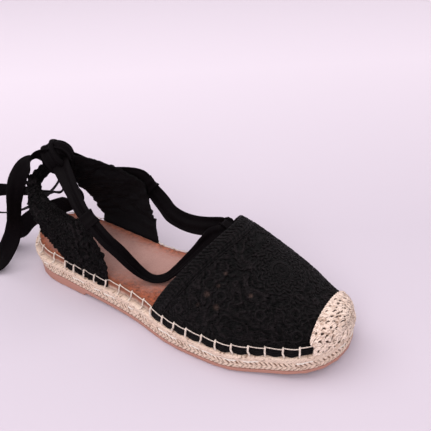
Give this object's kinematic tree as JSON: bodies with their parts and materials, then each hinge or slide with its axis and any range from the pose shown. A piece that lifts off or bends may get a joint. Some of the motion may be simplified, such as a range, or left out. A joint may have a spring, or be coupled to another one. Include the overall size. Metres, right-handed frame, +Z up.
{
  "type": "espadrille",
  "caption": "Flat espadrille with a braided jute sole, crocheted black vamp and heel wings, jute crochet toe cap and a ribbon tied behind the ankle.",
  "frame": {"origin": "on the floor under the middle of the heel seat, on the outsole's flat heel", "axes": "+X from the heel towards the toe, +Y towards the medial side, which is the left of a right shoe, +Z up"},
  "size_m": [0.337, 0.1329, 0.0992],
  "materials": {
    "rubber": "matte moulded rubber, tan pink",
    "jute": "wound and braided jute rope, natural",
    "sock": "napped suede, pinkish brown, darker at the rim",
    "crochet": "black cotton crochet lace over a lining",
    "crochet_wing": "black cotton crochet outside, smooth lining inside",
    "jute_crochet": "jute thread crochet, natural",
    "ribbon": "black ribbon with a soft sheen"
  },
  "bodies": {
    "root": {"outsole": "rubber", "midsole": "jute", "insole": "sock", "vamp": "crochet", "toe_cap": "jute_crochet", "heel_panel_lateral": "crochet_wing", "heel_panel_medial": "crochet_wing", "keeper_lateral": "ribbon", "keeper_medial": "ribbon", "keeper_vamp": "ribbon", "tie_strap": "ribbon", "knot": "ribbon", "bow_loop": "ribbon", "ribbon_end_lateral": "ribbon", "ribbon_end_medial": "ribbon"}
  },
  "joints": []
}
